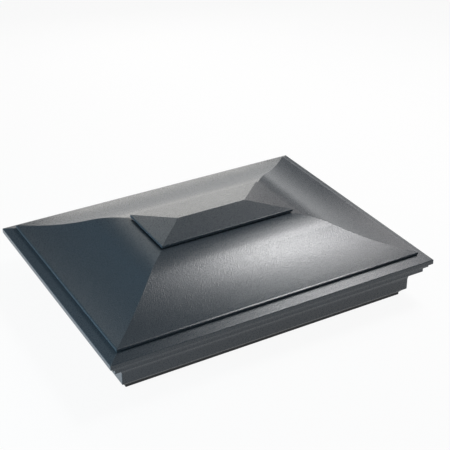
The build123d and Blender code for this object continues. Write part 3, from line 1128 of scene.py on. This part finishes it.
# Materials
def new_material(name, **constants):
    """Material with one Principled shader, its constants set on the shader's own sockets."""
    material = bpy.data.materials.new(name)
    material.use_nodes = True
    tree = material.node_tree
    shader = tree.nodes["Principled BSDF"]
    for socket, value in constants.items():
        shader.inputs[socket].default_value = value
    return material, tree, shader


def feed(tree, shader, colour, sheen, height, roughness, depth):
    """Feed a shader its colour, its roughness from one value to another, and its bump."""
    bump = add_node(tree, "Bump", {"Height": height, "Strength": 1.0, "Distance": depth})
    tree.links.new(colour, shader.inputs["Base Color"])
    tree.links.new(mapped(tree, sheen, target=roughness), shader.inputs["Roughness"])
    tree.links.new(bump.outputs["Normal"], shader.inputs["Normal"])


def satin_coat(name):
    """Fine-textured satin powder coat, with a little dust and a painted highlight that lightens
    its edges.
    """
    colours = bpy.context.scene.cap_colours
    material, tree, shader = new_material(name, IOR=1.5, Metallic=0.0)
    sizes = {"Grains per metre": 700.0, "Mottles per metre": 60.0}
    grain = shared(tree, "Fine grain", fine_grain, sizes)
    edge_highlight = shared(tree, "Painted edge highlights", painted_edge_highlights)
    dust = shared(tree, "Settled dust", settled_dust, {"Amount": 0.02})
    tone = mottled(tree, grain["Mottle"], colours.coat, darkest=0.94, lightest=1.06)
    # Painted highlight: the coat is lightened along its outer edges
    highlit = blend(tree, edge_highlight["Mask"], tone, colours.edge_highlight)
    dusty = blend(tree, dust["Mask"], highlit, colours.dust)
    texture = (grain["Speckle"], grain["Height"])
    feed(tree, shader, dusty, *texture, roughness=(0.22, 0.34), depth=0.12 * MM)
    return material


def mill_aluminium(name):
    """Mill-finish aluminium with the fine lines of extruding along the bars."""
    colour = bpy.context.scene.cap_colours.aluminium
    material, tree, shader = new_material(name, Metallic=1.0)
    lines = shared(tree, "Drawn lines", drawn_lines, {"Stretch Y": 0.02})
    tone = mottled(tree, lines["Mottle"], colour, darkest=0.85, lightest=1.05)
    texture = (lines["Mottle"], lines["Height"])
    feed(tree, shader, tone, *texture, roughness=(0.34, 0.48), depth=0.02 * MM)
    return material


def stainless(name):
    """Bright stainless steel with fine drawing lines down the pieces."""
    colour = bpy.context.scene.cap_colours.stainless
    material, tree, shader = new_material(name, Metallic=1.0)
    sizes = {"Lines per metre": 3000.0, "Stretch Z": 0.05}
    lines = shared(tree, "Drawn lines", drawn_lines, sizes)
    tone = mottled(tree, lines["Mottle"], colour, darkest=0.9, lightest=1.1)
    texture = (lines["Mottle"], lines["Height"])
    feed(tree, shader, tone, *texture, roughness=(0.22, 0.34), depth=0.01 * MM)
    return material


def black_rubber(name):
    """Matt black rubber with dust on it."""
    colours = bpy.context.scene.cap_colours
    material, tree, shader = new_material(name, IOR=1.5, Metallic=0.0)
    sizes = {"Grains per metre": 2500.0, "Mottles per metre": 150.0}
    grain = shared(tree, "Fine grain", fine_grain, sizes)
    dust = shared(tree, "Settled dust", settled_dust, {"Amount": 0.06})
    tone = mottled(tree, grain["Mottle"], colours.rubber, darkest=0.8, lightest=1.25)
    dusty = blend(tree, dust["Mask"], tone, colours.dust)
    texture = (grain["Mottle"], grain["Height"])
    feed(tree, shader, dusty, *texture, roughness=(0.62, 0.75), depth=0.02 * MM)
    return material


# Each slot's material, by name, and the function that makes it
FINISHES = {
    "satin_coat": ("anthracite_coat", satin_coat),
    "mill_aluminium": ("extruded_aluminium", mill_aluminium),
    "stainless": ("drawn_stainless", stainless),
    "black_rubber": ("matt_rubber", black_rubber),
}


def finish(slot):
    """Material of a slot, made when it is first asked for."""
    name, make = FINISHES[slot]
    return bpy.data.materials.get(name) or make(name)


# Stage
def background_rays(tree):
    """Mask of the rays that see the background: straight, mirrored or through glass."""
    rays = add_node(tree, "LightPath").outputs
    seen = rays["Is Camera Ray"]
    for kind in ("Is Glossy Ray", "Is Transmission Ray"):
        seen = compute(tree, "MAXIMUM", seen, rays[kind])
    return seen


def floor_material():
    """Pale floor that stays white to the camera and keeps a soft shadow."""
    material = bpy.data.materials.new("studio_floor")
    material.use_nodes = True
    tree = material.node_tree
    tree.nodes.clear()
    share = compute(tree, "MULTIPLY", background_rays(tree), FLOOR_WHITE)
    colour = (*bpy.context.scene.cap_colours.floor, 1.0)
    matt = add_node(tree, "BsdfDiffuse", {"Color": colour}).outputs[0]
    white = add_node(tree, "Emission", {"Color": WHITE, "Strength": 1.0}).outputs[0]
    mixed = add_node(tree, "MixShader", {0: share, 1: matt, 2: white}).outputs[0]
    add_node(tree, "OutputMaterial", {"Surface": mixed})
    material.cycles.emission_sampling = "NONE"
    return material


def make_floor():
    """Level floor under the seals."""
    reach = bpy.context.scene.cap_stage.floor_reach
    mesh = bmesh.new()
    mesh.faces.new([mesh.verts.new(point) for point in rectangle_ring(reach, reach, 0)])
    data = bpy.data.meshes.new("studio_floor")
    mesh.to_mesh(data)
    mesh.free()
    data.materials.append(floor_material())
    floor = bpy.data.objects.new("studio_floor", data)
    bpy.context.scene.collection.objects.link(floor)


def make_world():
    """Studio walls: a low white band where they meet the floor, and dim above it."""
    world = bpy.data.worlds.new("studio")
    bpy.context.scene.world = world
    world.use_nodes = True
    tree = world.node_tree
    tree.nodes.clear()
    direction = add_node(tree, "TexCoord").outputs["Generated"]
    height = add_node(tree, "SeparateXYZ", {"Vector": direction}).outputs["Z"]
    levels = [math.sin(math.radians(degrees)) for degrees in BAND_FADE]
    band = mapped(tree, height, levels, (1.0 - WALL_DIM, 0.0), interpolation_type="SMOOTHSTEP")
    strength = compute(tree, "MULTIPLY_ADD", band, background_rays(tree), WALL_DIM)
    walls = add_node(tree, "Background", {"Color": WHITE, "Strength": strength}).outputs[0]
    add_node(tree, "OutputWorld", {"Surface": walls})
    world.cycles.sampling_method = "NONE"


def soft_lamp(name, azimuth, elevation, width, height, watts, colour):
    """Soft box that looks at the middle of the cap, and isn't seen itself."""
    turn = math.radians(azimuth)
    climb = math.radians(elevation)
    away = Vector(
        (math.cos(turn) * math.cos(climb), math.sin(turn) * math.cos(climb), math.sin(climb))
    )
    lamp = bpy.data.lights.new(name, "AREA")
    lamp.shape = "RECTANGLE"
    lamp.size = width
    lamp.size_y = height
    lamp.energy = watts
    lamp.color = colour
    box = bpy.data.objects.new(name, lamp)
    box.location = Vector(LAMP_AIM) + LAMP_DISTANCE * away
    box.rotation_euler = (-away).to_track_quat("-Z", "Y").to_euler()
    box.visible_camera = False
    bpy.context.scene.collection.objects.link(box)


def make_lamps():
    """One strong box over the right, weak ones round it and behind, and cool light from the left.

    Azimuth and elevation are in degrees, width and height in metres.
    """
    soft_lamp("top_box", -4, 60.5, 0.33, 0.21, 7.7, (1.0, 1.0, 1.0))
    soft_lamp("under_box", 6, 53, 0.34, 0.17, 1.3, (1.0, 0.96, 1.0))
    soft_lamp("side_box", 30, 53, 0.26, 0.20, 1.15, (0.96, 1.0, 1.0))
    soft_lamp("right_box", 22, 46, 0.30, 0.20, 0.88, (1.0, 0.94, 0.90))
    soft_lamp("right_panel", 28, 18, 0.40, 0.36, 0.73, (1.0, 0.95, 0.94))
    soft_lamp("middle_panel", 44, 27, 0.50, 0.20, 0.64, (1.0, 0.94, 0.92))
    soft_lamp("back_panel", 70, 17.5, 0.60, 0.40, 2.75, (1.0, 0.98, 0.94))
    soft_lamp("high_panel", 84, 46, 0.40, 0.35, 0.46, (0.84, 0.96, 1.0))
    soft_lamp("low_fill", 240, 4, 0.60, 0.14, 0.8, (0.08, 0.6, 1.0))
    soft_lamp("left_box", 188, 5, 0.30, 0.24, 17.0, (0.65, 0.88, 1.0))


def make_camera():
    """Camera at the photograph's place."""
    stage = bpy.context.scene.cap_stage
    data = bpy.data.cameras.new("camera")
    data.lens = stage.lens
    data.sensor_width = 36.0
    data.clip_start = 0.05
    camera = bpy.data.objects.new("camera", data)
    camera.location = stage.camera_place
    camera.rotation_mode = "QUATERNION"
    level = Euler((math.pi / 2 - stage.camera_tilt, 0, stage.camera_turn)).to_quaternion()
    camera.rotation_quaternion = level @ Quaternion((0, 0, 1), stage.camera_roll)
    bpy.context.scene.collection.objects.link(camera)
    bpy.context.scene.camera = camera


# Operators
class CAP_OT_stage(Operator):
    """Set up the floor, the world, the lamps and the camera"""

    bl_idname = "rain_cap.stage"
    bl_label = "Stage"

    def execute(self, context):
        make_floor()
        make_world()
        make_lamps()
        make_camera()
        context.scene.view_settings.view_transform = "Standard"
        return {"FINISHED"}


class CAP_OT_frame_rails(Operator):
    """Build the four mitred rails with rim, cornice, skirt and flange"""

    bl_idname = "rain_cap.frame_rails"
    bl_label = "Frame rails"

    def execute(self, context):
        for side in SIDES:
            build_rail(side)
        return {"FINISHED"}


class CAP_OT_wall_seals(Operator):
    """Build the four rubber seals at the skirt's foot"""

    bl_idname = "rain_cap.wall_seals"
    bl_label = "Wall seals"

    def execute(self, context):
        for side in SIDES:
            build_seal(side)
        return {"FINISHED"}


class CAP_OT_corner_cleats(Operator):
    """Finish the four angle blocks that hold the mitres together"""

    bl_idname = "rain_cap.corner_cleats"
    bl_label = "Corner cleats"

    def execute(self, context):
        for corner in CORNERS:
            cleat = frame["nodes"][f"corner_cleat_{corner}"]
            cleat.data.materials[0] = finish("mill_aluminium")
        return {"FINISHED"}


class CAP_OT_bridge_bars(Operator):
    """Build the two flat bars across the opening"""

    bl_idname = "rain_cap.bridge_bars"
    bl_label = "Bridge bars"

    def execute(self, context):
        for hand in ("left", "right"):
            build_bar(hand)
        return {"FINISHED"}


class CAP_OT_bridge_screws(Operator):
    """Build the countersunk screws that hold the bars"""

    bl_idname = "rain_cap.bridge_screws"
    bl_label = "Bridge screws"

    def execute(self, context):
        build_countersunk_screws()
        return {"FINISHED"}


class CAP_OT_hood_pillars(Operator):
    """Build the four hexagonal standoffs that carry the hood"""

    bl_idname = "rain_cap.hood_pillars"
    bl_label = "Hood pillars"

    def execute(self, context):
        for corner in CORNERS:
            build_pillar(corner)
        return {"FINISHED"}


class CAP_OT_vent_spacers(Operator):
    """Build the rubber pads that keep the drip slot open"""

    bl_idname = "rain_cap.vent_spacers"
    bl_label = "Vent spacers"

    def execute(self, context):
        build_pads()
        return {"FINISHED"}


class CAP_OT_hood_shell(Operator):
    """Build the ogee hood"""

    bl_idname = "rain_cap.hood_shell"
    bl_label = "Hood shell"

    def execute(self, context):
        build_hood()
        return {"FINISHED"}


class CAP_OT_hood_screws(Operator):
    """Build the hexagon-head screws and their sealing washers"""

    bl_idname = "rain_cap.hood_screws"
    bl_label = "Hood screws and washers"

    def execute(self, context):
        build_hexagon_screws()
        build_washers()
        return {"FINISHED"}


class CAP_OT_cover_fixings(Operator):
    """Build the rubber grommets and the push-in studs"""

    bl_idname = "rain_cap.cover_fixings"
    bl_label = "Cover grommets and studs"

    def execute(self, context):
        build_grommets()
        build_studs()
        return {"FINISHED"}


class CAP_OT_top_cover(Operator):
    """Build the low hipped cover"""

    bl_idname = "rain_cap.top_cover"
    bl_label = "Top cover"

    def execute(self, context):
        build_cover()
        return {"FINISHED"}


OPERATORS = (
    CAP_OT_stage,
    CAP_OT_frame_rails,
    CAP_OT_wall_seals,
    CAP_OT_corner_cleats,
    CAP_OT_bridge_bars,
    CAP_OT_bridge_screws,
    CAP_OT_hood_pillars,
    CAP_OT_vent_spacers,
    CAP_OT_hood_shell,
    CAP_OT_hood_screws,
    CAP_OT_cover_fixings,
    CAP_OT_top_cover,
)
SETTINGS = {
    "cap_rail": RailSizes,
    "cap_seal": SealSizes,
    "cap_hood": HoodSizes,
    "cap_cover": CoverSizes,
    "cap_fixing": FixingSizes,
    "cap_colours": FinishColours,
    "cap_stage": StageSettings,
}


class CAP_PT_pieces(Panel):
    """Sizes and build steps of the rain cap"""

    bl_idname = "CAP_PT_pieces"
    bl_label = "Rain cap"
    bl_space_type = "VIEW_3D"
    bl_region_type = "UI"
    bl_category = "Rain cap"

    def draw(self, context):
        for name in SETTINGS:
            settings = getattr(context.scene, name)
            box = self.layout.box()
            for value in settings.bl_rna.properties:
                if value.identifier not in ("name", "rna_type"):
                    box.prop(settings, value.identifier)
        for operator in OPERATORS:
            self.layout.operator(operator.bl_idname)


def register():
    """Register the settings, the operators and the panel."""
    for name, kind in SETTINGS.items():
        bpy.utils.register_class(kind)
        setattr(bpy.types.Scene, name, PointerProperty(type=kind))
    for kind in (*OPERATORS, CAP_PT_pieces):
        bpy.utils.register_class(kind)


def unregister():
    """Take the panel, the operators and the settings out again."""
    for kind in (CAP_PT_pieces, *reversed(OPERATORS)):
        bpy.utils.unregister_class(kind)
    for name, kind in reversed(SETTINGS.items()):
        delattr(bpy.types.Scene, name)
        bpy.utils.unregister_class(kind)


def main():
    """Build the stage and every piece."""
    register()
    for operator in OPERATORS:
        group, action = operator.bl_idname.split(".")
        getattr(getattr(bpy.ops, group), action)()


if __name__ == "__main__":
    main()
